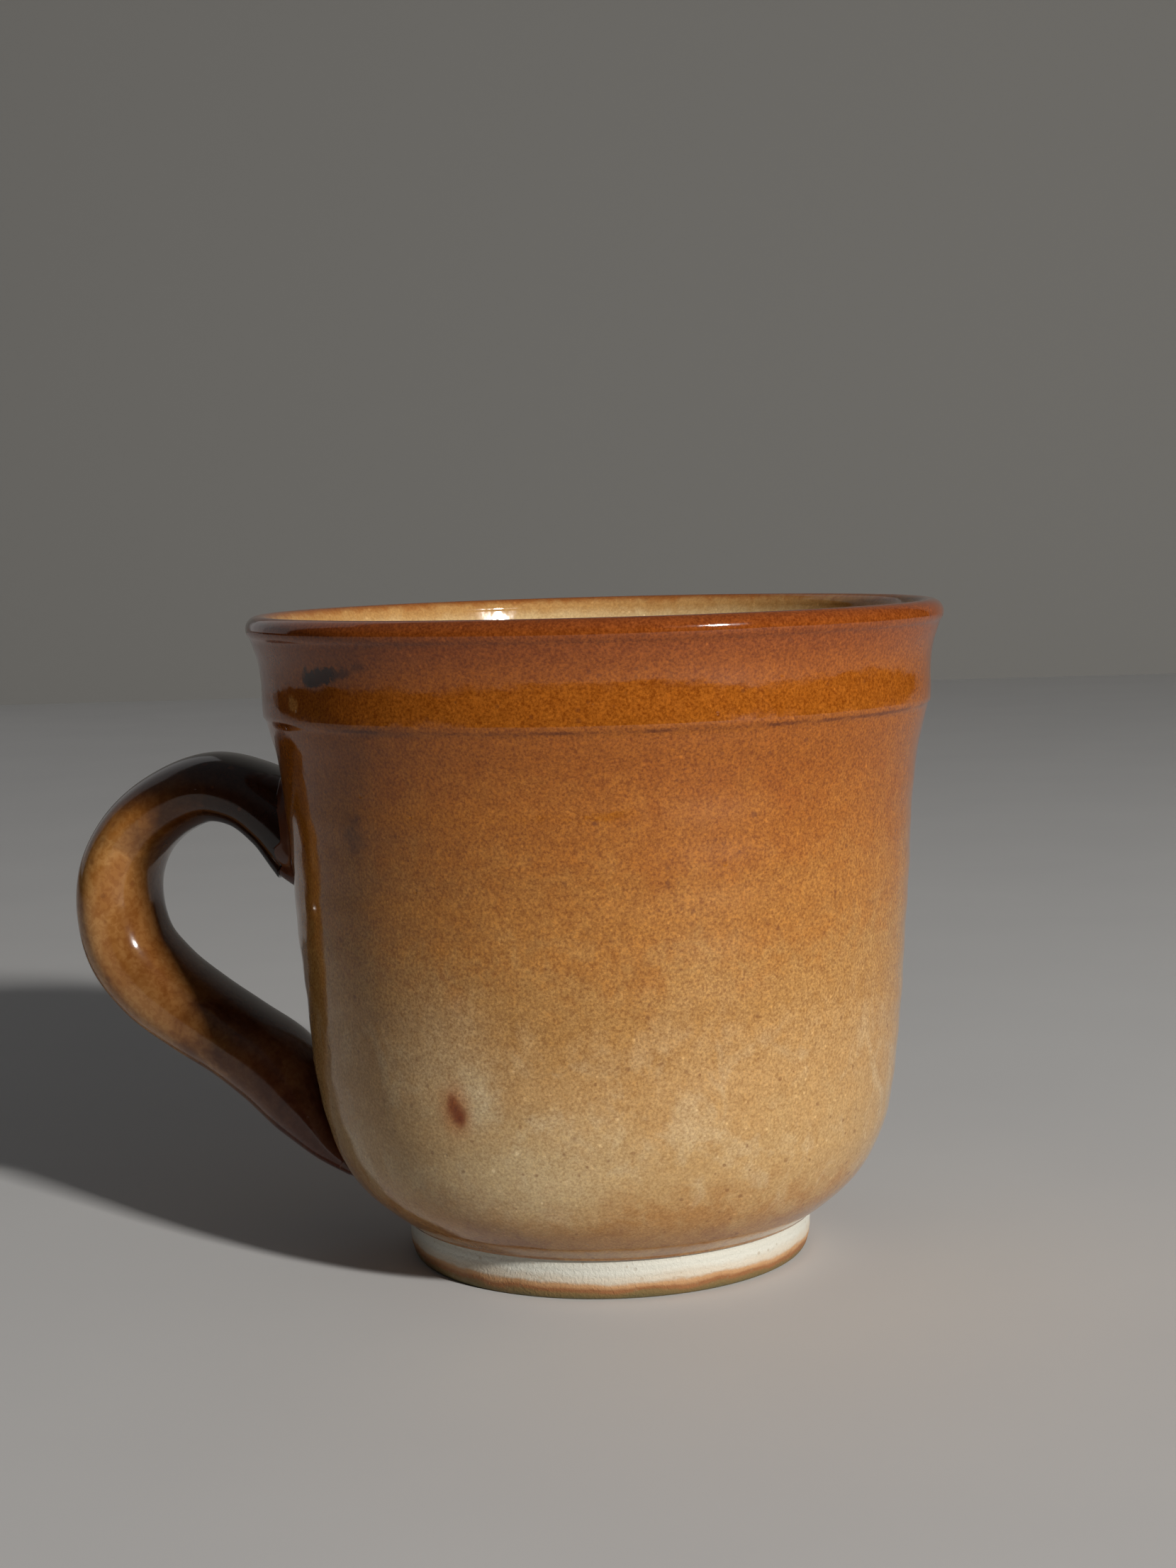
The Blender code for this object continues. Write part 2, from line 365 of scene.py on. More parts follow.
def slip_joint(name, lines, reach_on_strap, reach_on_wall):
    """A closed ring of slip round a root; the reaches are in millimetres, one value a lengthwise line."""
    meeting = crossing(lines, 0.0)
    corner = at_rows(lines, meeting[None, :])[0]
    step = np.linalg.norm(np.diff(lines, axis=0), axis=-1).mean()
    start = at_rows(lines, (meeting + reach_on_strap / step)[None, :])[0]
    flat = on_the_wall(corner)
    tangent = np.roll(flat, -1, axis=0) - np.roll(flat, 1, axis=0)
    outward = np.column_stack([tangent[:, 1], -tangent[:, 0]])
    outward /= np.linalg.norm(outward, axis=1)[:, None]
    outward *= np.sign(np.einsum("ij,ij->i", outward, flat - flat.mean(axis=0)).sum())
    end_flat = flat + outward * reach_on_wall[:, None]
    end = back_on_the_wall(end_flat, WALL_END_SINK)
    t = np.linspace(0, 1, SLIP_STEPS)[:, None, None]
    curve = (1 - t) ** 2 * start + 2 * t * (1 - t) * corner + t**2 * end
    buried_end = back_on_the_wall(end_flat, BURIED_END_SINK)[None]
    buried_corner = back_on_the_wall(flat - outward, BURIED_CORNER_SINK)[None]
    buried_start = (start + STRAP_END_SINK_SHARE * (start.mean(axis=0) - start))[None]
    joint = skin(name, np.concatenate([curve, buried_end, buried_corner, buried_start]), joined=True)
    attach(joint, "root")
    return joint


around = np.linspace(0, 2 * np.pi, AROUND, endpoint=False)
towards_gap = (1 - np.cos(around)) / 2
upper = slip_joint("upper_slip_fillet", strap, 1.5 + 1.4 * towards_gap, 1.3 + 0.3 * towards_gap)
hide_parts("upper_slip_joint")
lower = slip_joint("lower_slip_fillet", strap[::-1], 1.5 + 1.3 * towards_gap, 1.2 + 0.9 * towards_gap)
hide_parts("lower_slip_joint")

# %% [markdown]
# ## Shader nodes in a few words
# A finish is a graph of nodes. Written out one by one the nodes would bury the idea, so a helper adds a
# node and fills its sockets by name: a socket of another node is linked, and anything else is set as a
# plain value.

# %% Node helpers
def node(tree, kind, inputs=None, **settings):
    """A node of that kind in the tree, with its settings; inputs are linked or set by name or number."""
    made = tree.nodes.new("ShaderNode" + kind)
    for key, value in settings.items():
        setattr(made, key, value)
    for key, value in (inputs or {}).items():
        if isinstance(value, bpy.types.NodeSocket):
            tree.links.new(value, made.inputs[key])
        else:
            made.inputs[key].default_value = value
    return made


def maths(tree, operation, *values, clamp=False):
    """The result socket of one Math node."""
    return node(tree, "Math", dict(enumerate(values)), operation=operation, use_clamp=clamp).outputs[0]


def smooth_range(tree, value, low, high, to_low=0.0, to_high=1.0):
    """The value carried smoothly from the range low to high onto the range to_low to to_high."""
    inputs = {"Value": value, "From Min": low, "From Max": high, "To Min": to_low, "To Max": to_high}
    return node(tree, "MapRange", inputs, interpolation_type="SMOOTHSTEP").outputs["Result"]


def mix(tree, share, first, second, blend="MIX"):
    """Two colours mixed by a share; first and second are sockets or (red, green, blue)."""
    made = node(tree, "Mix", data_type="RGBA", blend_type=blend)
    for number, value in ((0, share), (6, first), (7, second)):
        if isinstance(value, bpy.types.NodeSocket):
            tree.links.new(value, made.inputs[number])
        else:
            made.inputs[number].default_value = (*value, 1) if isinstance(value, tuple) else value
    return made.outputs[2]


def ramp(tree, value, stops):
    """A colour ramp over the value; stops are (place from 0 to 1, (red, green, blue))."""
    made = node(tree, "ValToRGB", {"Fac": value})
    made.color_ramp.interpolation = "EASE"
    elements = made.color_ramp.elements
    while len(elements) < len(stops):
        elements.new(1.0)
    for element, (place, _) in zip(elements, stops):
        element.position = place
    for element, (_, colour) in zip(elements, stops):
        element.color = (*colour, 1)
    return made.outputs["Color"]


def new_group(name, inputs, outputs):
    """An empty group, its input and output; inputs are (name, kind, value) and outputs (name, kind)."""
    tree = bpy.data.node_groups.new(name, "ShaderNodeTree")
    for socket_name, kind, value in inputs:
        socket = tree.interface.new_socket(socket_name, in_out="INPUT", socket_type="NodeSocket" + kind)
        socket.default_value = value
    for socket_name, kind in outputs:
        tree.interface.new_socket(socket_name, in_out="OUTPUT", socket_type="NodeSocket" + kind)
    return tree, tree.nodes.new("NodeGroupInput"), tree.nodes.new("NodeGroupOutput")


def use_group(tree, group, inputs):
    """The group placed in a material's tree with its own values."""
    placed = tree.nodes.new("ShaderNodeGroup")
    placed.node_tree = group
    for key, value in inputs.items():
        if isinstance(value, bpy.types.NodeSocket):
            tree.links.new(value, placed.inputs[key])
        else:
            placed.inputs[key].default_value = value
    return placed


print("helpers ready")

# %% [markdown]
# ## Effects that several finishes share
# ** Specks** are grains of iron and of unmelted ash. A Voronoi texture gives every grain its own cell and
# its own random number: the number decides whether the cell holds a grain and how large it is. **Clouds**
# are the slow changes of tone that flame and glaze thickness leave, stretched downwards where glaze ran. One
# **spot** group places a single mark with a ragged edge. It gives iron grains that melted and bled, milky
# patches, dark smudges and the painted dark reflection on the collar. The **glaze skin** is the slow
# waviness, the orange peel and the pinholes of a glassy coat.

# %% Group: specks
specks, enter, leave = new_group(
    "grains in the glaze",
    [("Place", "Vector", (0, 0, 0)), ("Cell", "Float", 1.0), ("Share", "Float", 0.3),
     ("Size", "Float", 0.3)],
    [("Mask", "Float")],
)
cells = node(
    specks, "TexVoronoi",
    {"Vector": enter.outputs["Place"], "Scale": maths(specks, "DIVIDE", 1.0, enter.outputs["Cell"])},
    feature="F1", distance="EUCLIDEAN",
)
chance = node(specks, "SeparateColor", {"Color": cells.outputs["Color"]})
kept = maths(specks, "LESS_THAN", chance.outputs["Red"], enter.outputs["Share"])
size = maths(specks, "MULTIPLY", enter.outputs["Size"], maths(specks, "ADD", chance.outputs["Green"], 0.5))
edge = maths(specks, "DIVIDE", cells.outputs["Distance"], size)
grain_mask = maths(specks, "MULTIPLY", kept, smooth_range(specks, edge, 1.3, 0.5))
specks.links.new(grain_mask, leave.inputs["Mask"])
print("group:", specks.name)

# %% Group: clouds
clouds, enter, leave = new_group(
    "kiln clouds",
    [("Place", "Vector", (0, 0, 0)), ("Width", "Float", 20.0), ("Fall", "Float", 1.0),
     ("Detail", "Float", 3.0)],
    [("Mask", "Float")],
)
flatter = maths(clouds, "DIVIDE", 1.0, enter.outputs["Fall"])
squeeze = node(clouds, "CombineXYZ", {"X": 1.0, "Y": 1.0, "Z": flatter})
stretched = node(
    clouds, "VectorMath", {0: enter.outputs["Place"], 1: squeeze.outputs[0]}, operation="MULTIPLY"
)
swirl = node(
    clouds, "TexNoise",
    {"Vector": stretched.outputs[0], "Scale": maths(clouds, "DIVIDE", 1.0, enter.outputs["Width"]),
     "Detail": enter.outputs["Detail"], "Roughness": 0.55, "Distortion": 0.6},
)
clouds.links.new(smooth_range(clouds, swirl.outputs["Fac"], 0.25, 0.75), leave.inputs["Mask"])
print("group:", clouds.name)

# %% Group: one ragged spot
ragged_spot, enter, leave = new_group(
    "ragged spot mask",
    [("Place", "Vector", (0, 0, 0)), ("Centre", "Vector", (0, 0, 0)), ("Half size", "Vector", (1, 1, 1)),
     ("Softness", "Float", 0.4), ("Raggedness", "Float", 0.5)],
    [("Mask", "Float")],
)
rough_edge = node(ragged_spot, "TexNoise", {"Vector": enter.outputs["Place"], "Scale": 0.9, "Detail": 3.0})
shove = node(
    ragged_spot, "VectorMath",
    {0: rough_edge.outputs["Color"], 1: (0.5, 0.5, 0.5)}, operation="SUBTRACT",
)
shoved = node(
    ragged_spot, "VectorMath", {0: shove.outputs[0], "Scale": enter.outputs["Raggedness"]}, operation="SCALE"
)
offset = node(
    ragged_spot, "VectorMath", {0: enter.outputs["Place"], 1: enter.outputs["Centre"]}, operation="SUBTRACT"
)
ragged = node(ragged_spot, "VectorMath", {0: offset.outputs[0], 1: shoved.outputs[0]}, operation="ADD")
scaled = node(
    ragged_spot, "VectorMath", {0: ragged.outputs[0], 1: enter.outputs["Half size"]}, operation="DIVIDE"
)
distance = node(ragged_spot, "VectorMath", {0: scaled.outputs[0]}, operation="LENGTH").outputs["Value"]
outer = maths(ragged_spot, "ADD", 1.0, enter.outputs["Softness"])
inner = maths(ragged_spot, "SUBTRACT", 1.0, enter.outputs["Softness"])
ragged_spot.links.new(smooth_range(ragged_spot, distance, outer, inner), leave.inputs["Mask"])
print("group:", ragged_spot.name)

# %% Group: glaze skin
glaze_skin, enter, leave = new_group(
    "glaze skin",
    [("Place", "Vector", (0, 0, 0)), ("Swell", "Float", 0.5), ("Pinholes", "Float", 0.3)],
    [("Normal", "Vector")],
)
slow_wave = node(glaze_skin, "TexNoise", {"Vector": enter.outputs["Place"], "Scale": 0.085, "Detail": 0.0})
swell = node(glaze_skin, "TexNoise", {"Vector": enter.outputs["Place"], "Scale": 0.32, "Detail": 1.0})
grain = node(glaze_skin, "TexNoise", {"Vector": enter.outputs["Place"], "Scale": 1.5, "Detail": 1.0})
hole_inputs = {"Place": enter.outputs["Place"], "Cell": 2.3, "Share": 0.16, "Size": 0.09}
holes = use_group(glaze_skin, specks, hole_inputs)
waves = maths(glaze_skin, "MULTIPLY_ADD", slow_wave.outputs["Fac"], 2.6, swell.outputs["Fac"])
waves = maths(glaze_skin, "MULTIPLY_ADD", grain.outputs["Fac"], 0.09, waves)
depth = maths(glaze_skin, "MULTIPLY", holes.outputs["Mask"], enter.outputs["Pinholes"])
relief = maths(glaze_skin, "SUBTRACT", maths(glaze_skin, "MULTIPLY", waves, enter.outputs["Swell"]), depth)
bump = node(glaze_skin, "Bump", {"Height": relief, "Strength": 1.0, "Distance": 0.00006})
glaze_skin.links.new(bump.outputs["Normal"], leave.inputs["Normal"])
print("group:", glaze_skin.name)

# %% [markdown]
# ## The cup's glaze
# The glaze is rust where it is thin at the lip, orange-brown over the collar, and sand to cream lower down
# where it is thick. Height gives the tone, and clouds of three sizes push it up and down. Milky clouds lie
# low on the outside. The marks that catch the eye, such as the iron spot, are placed one by one. A
# near-black smear on the collar's left is placed the same way: it is painted dark reflection, not glaze. A
# mottle, a fine grain and specks then multiply the colour, more strongly outside than inside. Inside, the
# glaze turns to cream within a few millimetres of the lip. The attribute called run, the distance from the
# crest of the lip along the profile, tells inside from outside.

# %% Material basics
def new_material(name, **values):
    """A Principled material with plain values on its own sockets, then its tree and its shader."""
    material = bpy.data.materials.new(name)
    material.use_nodes = True
    tree = material.node_tree
    shader = tree.nodes["Principled BSDF"]
    for key, value in values.items():
        shader.inputs[key.replace("_", " ")].default_value = value
    return material, tree, shader


def place_in_millimetres(tree):
    """Object coordinates in millimetres from the cup's axis, for every pattern to share."""
    where = node(tree, "TexCoord").outputs["Object"]
    to_axis = {"Vector": where, "Location": (-AXIS_X * MM, 0, 0)}
    centred = node(tree, "Mapping", to_axis, vector_type="POINT")
    return node(tree, "VectorMath", {0: centred.outputs[0], "Scale": 1 / MM}, operation="SCALE").outputs[0]


def height_of(tree, place):
    """Height over the table, in millimetres."""
    return node(tree, "SeparateXYZ", {0: place}).outputs["Z"]


def on_cup(front_angle, height):
    """A point on the cup's outside, front_angle degrees to the right of the front, at a height."""
    angle = math.radians(front_angle - 90)
    radius = float(wall_radius(height))
    return (radius * math.cos(angle), radius * math.sin(angle), height)


def cloud(tree, place, width, fall, detail):
    """The mask of kiln clouds so many millimetres wide."""
    inputs = {"Place": place, "Width": width, "Fall": fall, "Detail": detail}
    return use_group(tree, clouds, inputs).outputs[0]


def grains(tree, place, cell, share, size):
    """The mask of grains, one in a share of the cells."""
    return use_group(tree, specks, {"Place": place, "Cell": cell, "Share": share, "Size": size}).outputs[0]


def pushed_by(tree, mask, reach, value):
    """The value pushed by up to half the reach either way, as the mask says."""
    return maths(tree, "MULTIPLY_ADD", maths(tree, "SUBTRACT", mask, 0.5), reach, value)


def under_glass(tree, shader, place, colour, roughness, swell, pinholes):
    """The colour, the roughness and the skin of a glassy coat, linked to the shader."""
    tree.links.new(colour, shader.inputs["Base Color"])
    tree.links.new(roughness, shader.inputs["Roughness"])
    coat = use_group(tree, glaze_skin, {"Place": place, "Swell": swell, "Pinholes": pinholes})
    tree.links.new(coat.outputs["Normal"], shader.inputs["Normal"])


print("a point on the front of the collar:", tuple(round(v, 1) for v in on_cup(0, 75)))

# %% Glaze of the cup
OUTSIDE_TONES = (
    (0.00, (0.260, 0.120, 0.045)),
    (0.07, (0.330, 0.150, 0.050)),
    (0.13, (0.430, 0.225, 0.078)),
    (0.22, (0.510, 0.325, 0.140)),
    (0.34, (0.500, 0.295, 0.115)),
    (0.46, (0.450, 0.235, 0.070)),
    (0.58, (0.425, 0.178, 0.034)),
    (0.70, (0.375, 0.130, 0.016)),
    (0.80, (0.335, 0.102, 0.010)),
    (0.90, (0.335, 0.096, 0.010)),
    (0.97, (0.270, 0.068, 0.010)),
    (1.00, (0.230, 0.055, 0.010)),
)
INSIDE_TONES = (
    (0.00, (0.660, 0.520, 0.310)),
    (0.45, (0.700, 0.560, 0.340)),
    (0.90, (0.680, 0.520, 0.300)),
    (0.963, (0.660, 0.480, 0.250)),
    (0.985, (0.500, 0.280, 0.100)),
    (1.00, (0.340, 0.120, 0.025)),
)
# Marks in the glaze, and a painted dark reflection on the collar: degrees right of the front, height,
# half size, softness, raggedness, strength, tint.
GLAZE_MARKS_AND_PAINTED_REFLECTION = (
    (-11.0, 16.5, (9.0, 9.0, 5.0), 0.8, 4.0, 0.45, (0.66, 0.540, 0.330)),
    (-20.0, 31.0, (6.5, 6.5, 8.0), 0.8, 4.0, 0.30, (0.64, 0.520, 0.330)),
    (1.0, 20.0, (8.0, 8.0, 6.0), 0.8, 4.0, 0.28, (0.66, 0.530, 0.320)),
    (-14.0, 27.6, (2.6, 2.6, 3.4), 0.7, 1.6, 0.40, (0.66, 0.580, 0.400)),
    (-18.0, 26.3, (1.8, 1.8, 2.7), 0.8, 1.0, 0.80, (0.44, 0.170, 0.045)),
    (-18.5, 26.8, (0.8, 0.8, 1.3), 0.7, 0.5, 0.95, (0.25, 0.064, 0.010)),
    (-17.4, 25.5, (0.9, 0.9, 1.2), 0.7, 0.5, 1.00, (0.22, 0.052, 0.009)),
    # Painted dark reflection: the next four near-black marks on the left of the collar stand for the dark
    # that the glossy band mirrors.
    (-41.5, 77.8, (2.3, 2.3, 1.0), 0.3, 2.4, 1.00, (0.040, 0.012, 0.005)),
    (-37.8, 78.2, (2.5, 2.5, 0.9), 0.3, 2.4, 1.00, (0.045, 0.012, 0.005)),
    (-33.5, 78.6, (1.7, 1.7, 0.5), 0.6, 2.0, 0.80, (0.070, 0.018, 0.006)),
    (-29.5, 79.2, (1.4, 1.4, 0.4), 0.6, 1.6, 0.55, (0.080, 0.020, 0.006)),
    (-49.0, 74.6, (0.7, 0.7, 0.9), 0.5, 1.0, 0.90, (0.620, 0.290, 0.080)),
    (-47.6, 74.2, (0.6, 0.6, 0.8), 0.5, 1.0, 0.90, (0.580, 0.250, 0.060)),
    (-36.8, 58.4, (1.5, 1.5, 1.9), 0.9, 3.2, 0.50, (0.110, 0.036, 0.012)),
    (-35.8, 60.6, (0.9, 0.9, 0.8), 0.9, 2.2, 0.40, (0.110, 0.036, 0.012)),
)
LEDGE_HEIGHT = 71.65
SLOW_PUSH, DRIP_PUSH, FINE_PUSH, INSIDE_PUSH = 5.0, 4.0, 5.5, 0.7
MILKY_CREAM, LEDGE_BROWN, IRON_BROWN = (0.64, 0.52, 0.33), (0.10, 0.022, 0.006), (0.14, 0.038, 0.010)
MOTTLE_TINT, DARK_GRAIN_TINT = (0.86, 0.80, 0.70), (0.60, 0.46, 0.34)
LIGHT_GRAIN_TINT, PALE_SPECK_TINT = (1.42, 1.42, 1.36), (1.50, 1.62, 1.80)


def cup_material():
    material, tree, shader = new_material("rust_to_sand_glaze", IOR=1.52)
    place = place_in_millimetres(tree)
    height = height_of(tree, place)
    run = node(tree, "Attribute", attribute_name="run").outputs["Fac"]
    outside_only = smooth_range(tree, run, -0.5, 1.5)
    drip = cloud(tree, place, 8.0, 2.2, 3.0)
    fine = cloud(tree, place, 2.4, 1.0, 5.0)

    pushed = pushed_by(tree, cloud(tree, place, 26.0, 1.0, 2.0), SLOW_PUSH, height)
    pushed = pushed_by(tree, drip, DRIP_PUSH, pushed)
    pushed = pushed_by(tree, fine, FINE_PUSH, pushed)
    steady = smooth_range(tree, height, HEIGHT - 18, HEIGHT - 8)
    tone = node(tree, "Mix", {0: steady, 2: pushed, 3: height}, data_type="FLOAT").outputs[0]
    outer = ramp(tree, maths(tree, "DIVIDE", tone, HEIGHT), OUTSIDE_TONES)
    calm = pushed_by(tree, fine, INSIDE_PUSH, height)
    inner = ramp(tree, maths(tree, "DIVIDE", calm, HEIGHT), INSIDE_TONES)
    colour = mix(tree, smooth_range(tree, run, -1.6, 0.4), inner, outer)

    low_down = maths(tree, "MULTIPLY", smooth_range(tree, height, 9, 15), smooth_range(tree, height, 46, 24))
    milky = smooth_range(tree, cloud(tree, place, 5.5, 1.3, 5.0), 0.50, 0.95, 0.0, 0.34)
    milky = maths(tree, "MULTIPLY", milky, low_down)
    colour = mix(tree, maths(tree, "MULTIPLY", milky, outside_only), colour, MILKY_CREAM)

    for front_angle, spot_height, half_size, softness, raggedness, strength, tint in GLAZE_MARKS_AND_PAINTED_REFLECTION:
        inputs = {"Place": place, "Centre": on_cup(front_angle, spot_height), "Half size": half_size,
                  "Softness": softness, "Raggedness": raggedness}
        mark = use_group(tree, ragged_spot, inputs).outputs[0]
        colour = mix(tree, maths(tree, "MULTIPLY", mark, strength), colour, tint)

    to_ledge = maths(tree, "ABSOLUTE", maths(tree, "SUBTRACT", height, LEDGE_HEIGHT))
    broken = smooth_range(tree, drip, 0.2, 0.8, 0.15, 0.65)
    ledge = maths(tree, "MULTIPLY", smooth_range(tree, to_ledge, 0.34, 0.06), broken)
    colour = mix(tree, maths(tree, "MULTIPLY", ledge, outside_only), colour, LEDGE_BROWN)

    by_side = smooth_range(tree, run, -1, 2, 0.4, 1.0)
    by_side = maths(tree, "MULTIPLY", by_side, smooth_range(tree, height, 12, 50, 0.55, 1.0))
    mottle = maths(tree, "MULTIPLY", cloud(tree, place, 1.7, 1.0, 4.0), by_side)
    colour = mix(tree, mottle, colour, MOTTLE_TINT, "MULTIPLY")
    noise = {"Vector": place, "Scale": 2.9, "Detail": 2.0, "Roughness": 0.7}
    grain = node(tree, "TexNoise", noise).outputs["Fac"]
    darker = maths(tree, "MULTIPLY", smooth_range(tree, grain, 0.44, 0.72, 0.0, 0.90), by_side)
    lighter = maths(tree, "MULTIPLY", smooth_range(tree, grain, 0.52, 0.28, 0.0, 0.85), by_side)
    colour = mix(tree, darker, colour, DARK_GRAIN_TINT, "MULTIPLY")
    colour = mix(tree, lighter, colour, LIGHT_GRAIN_TINT, "MULTIPLY")

    pale = maths(tree, "MULTIPLY", grains(tree, place, 1.1, 0.28, 0.17), 0.55)
    colour = mix(tree, pale, colour, PALE_SPECK_TINT, "MULTIPLY")
    dark = maths(tree, "MULTIPLY", grains(tree, place, 1.3, 0.30, 0.17), 0.45)
    freckle = maths(tree, "MULTIPLY", grains(tree, place, 5.5, 0.40, 0.055), 0.55)
    brown = maths(tree, "MAXIMUM", dark, freckle)
    brown = maths(tree, "MULTIPLY", brown, smooth_range(tree, run, -1, 2, 0.3, 1.0))
    colour = mix(tree, brown, colour, IRON_BROWN)
    under_glass(tree, shader, place, colour, smooth_range(tree, fine, 0.0, 1.0, 0.06, 0.13), 0.75, 0.5)
    return material


cup.data.materials.append(cup_material())
print("glaze of the cup is on")

# %% [markdown]
# ## The handle's and the slip's glaze
# The strap is dipped with the cup, but glaze runs off its edges. It is mottled ochre at the grip and reddish
# where it thins over the slip. At the upper root it is deep brown, darkened to near black as painted shade.
# The side that faces the finger gap and the cup is darker: that is painted shade.

# %% Glaze of the handle
# Tones along the strap. The first stops, near black at the upper root, are a deep brown glaze darkened
# further as painted shade.
STRAP_TONES_WITH_ROOT_SHADE = (
    (0.00, (0.026, 0.010, 0.006)),
    (0.15, (0.050, 0.019, 0.009)),
    (0.26, (0.170, 0.065, 0.018)),
    (0.36, (0.500, 0.245, 0.075)),
    (0.62, (0.510, 0.255, 0.082)),
    (0.76, (0.180, 0.070, 0.026)),
    (0.90, (0.105, 0.032, 0.016)),
    (1.00, (0.110, 0.026, 0.013)),
)
LOOP_MIDDLE = (-50.0, 0.0, 43.0)
PATCH_PUSH = 0.07
GAP_SIDE_PAINTED_SHADE, PATCH_TINT, STRAP_GRAIN_TINT = (0.34, 0.27, 0.22), (0.80, 0.68, 0.50), (0.84, 0.76, 0.66)
STRAP_SPECK_BROWN = (0.15, 0.045, 0.012)
SLIP_DARK, SLIP_RED = (0.085, 0.026, 0.013), (0.150, 0.050, 0.022)


def handle_material():
    material, tree, shader = new_material("mottled_ochre_glaze", IOR=1.52)
    place = place_in_millimetres(tree)
    run = node(tree, "Attribute", attribute_name="run").outputs["Fac"]
    patch = cloud(tree, place, 4.5, 1.2, 3.0)
    grain = cloud(tree, place, 0.8, 1.0, 2.0)
    colour = ramp(tree, pushed_by(tree, patch, PATCH_PUSH, run), STRAP_TONES_WITH_ROOT_SHADE)
    from_middle = node(tree, "VectorMath", {0: place, 1: LOOP_MIDDLE}, operation="SUBTRACT").outputs[0]
    in_plane = node(tree, "VectorMath", {0: from_middle, 1: (1.0, 0.0, 1.0)}, operation="MULTIPLY")
    off_middle = node(tree, "VectorMath", {0: in_plane.outputs[0]}, operation="LENGTH").outputs["Value"]
    # Painted shade: the side of the strap that faces the cup and the finger gap is darkened, as if in the
    # cup's shadow.
    painted_gap_shade = smooth_range(tree, off_middle, 18.5, 12.5, 0.0, 0.85)
    colour = mix(tree, painted_gap_shade, colour, GAP_SIDE_PAINTED_SHADE, "MULTIPLY")
    colour = mix(tree, smooth_range(tree, patch, 0.35, 0.9), colour, PATCH_TINT, "MULTIPLY")
    colour = mix(tree, smooth_range(tree, grain, 0.2, 0.8), colour, STRAP_GRAIN_TINT, "MULTIPLY")
    dark = maths(tree, "MULTIPLY", grains(tree, place, 1.8, 0.25, 0.2), 0.45)
    colour = mix(tree, dark, colour, STRAP_SPECK_BROWN)
    under_glass(tree, shader, place, colour, smooth_range(tree, patch, 0.0, 1.0, 0.09, 0.17), 0.6, 0.4)
    return material


def slip_material():
    material, tree, shader = new_material("dark_slip_glaze", IOR=1.52)
    place = place_in_millimetres(tree)
    patch = cloud(tree, place, 3.0, 1.5, 3.0)
    colour = mix(tree, patch, SLIP_DARK, SLIP_RED)
    under_glass(tree, shader, place, colour, smooth_range(tree, patch, 0.0, 1.0, 0.10, 0.18), 0.7, 0.4)
    return material


handle.data.materials.append(handle_material())
slip = slip_material()
upper.data.materials.append(slip)
lower.data.materials.append(slip)
print("glaze of the handle is on")

# %% [markdown]
# ## Bare clay
# The foot is wiped clean so that it doesn't stick to the kiln shelf. Bare stoneware fires to a dry cream,
# and where it meets the glaze's vapour near the shelf it flashes orange, with an olive edge that rubs the
# table.

# %% Clay of the foot
FOOT_TONES = (
    (0.00, (0.150, 0.120, 0.048)),
    (0.14, (0.200, 0.130, 0.046)),
    (0.26, (0.300, 0.125, 0.044)),
    (0.38, (0.500, 0.280, 0.130)),
    (0.50, (0.610, 0.540, 0.430)),
    (0.75, (0.640, 0.635, 0.560)),
    (1.00, (0.610, 0.600, 0.520)),
)
GRIT_BROWN = (0.30, 0.20, 0.10)


def clay_material():
    material, tree, shader = new_material("toasted_bare_clay", IOR=1.45)
    place = place_in_millimetres(tree)
    grain = cloud(tree, place, 0.5, 1.0, 4.0)
    raised = pushed_by(tree, cloud(tree, place, 9.0, 0.5, 3.0), 0.7, height_of(tree, place))
    raised = pushed_by(tree, grain, 0.1, raised)
    colour = ramp(tree, maths(tree, "DIVIDE", raised, GLAZE_LINE), FOOT_TONES)
    grit = maths(tree, "MULTIPLY", grains(tree, place, 0.9, 0.25, 0.22), 0.35)
    colour = mix(tree, grit, colour, GRIT_BROWN)
    tree.links.new(colour, shader.inputs["Base Color"])
    tree.links.new(smooth_range(tree, grain, 0.0, 1.0, 0.50, 0.80), shader.inputs["Roughness"])
    bump = node(tree, "Bump", {"Height": grain, "Strength": 0.8, "Distance": 0.00006})
    tree.links.new(bump.outputs["Normal"], shader.inputs["Normal"])
    return material


foot.data.materials.append(clay_material())
print("clay of the foot is on")

# %% [markdown]
# ## The stage
# A pale table top stands for any room: it is plain, but it lights the mug from below, and a glossy glaze
# needs something to reflect. It ends a third of a metre in front of the mug. The straight band of the
# collar mirrors what lies beyond that edge, which is dark, and the flare above it mirrors the bright table.
# A plain grey backdrop closes the view behind the table. Both are laid out for a camera straight in front
# and turned with it about the origin.

# %% Pale table and grey backdrop
VIEW_TURN = 10.0
TABLE_FRONT = (-0.33, 0.42)
TABLE_BACK = (1.15, 0.80)
TABLE_TONES = (0.56, 0.56, 0.56), (0.61, 0.61, 0.605)
BACKDROP_HALF_WIDTH, BACKDROP_BOTTOM, BACKDROP_TOP = 1.1, -0.1, 1.5
BACKDROP_GREY = (0.30, 0.295, 0.28, 1)


def table_material():
    material, tree, shader = new_material("pale_table", Roughness=0.75)
    where = node(tree, "TexCoord").outputs["Object"]
    weave = node(tree, "TexNoise", {"Vector": where, "Scale": 18.0, "Detail": 4.0})
    tree.links.new(mix(tree, weave.outputs["Fac"], *TABLE_TONES), shader.inputs["Base Color"])
    return material


def stage_sheet(name, corners, material):
    """A flat four-cornered sheet of the stage, turned with the view."""
    to_view = Matrix.Rotation(math.radians(VIEW_TURN), 4, "Z")
    mesh = bpy.data.meshes.new(name)
    mesh.from_pydata([tuple(to_view @ Vector(corner)) for corner in corners], [], [(0, 1, 2, 3)])
    sheet = bpy.data.objects.new(name, mesh)
    sheet.data.materials.append(material)
    bpy.context.scene.collection.objects.link(sheet)
    return sheet


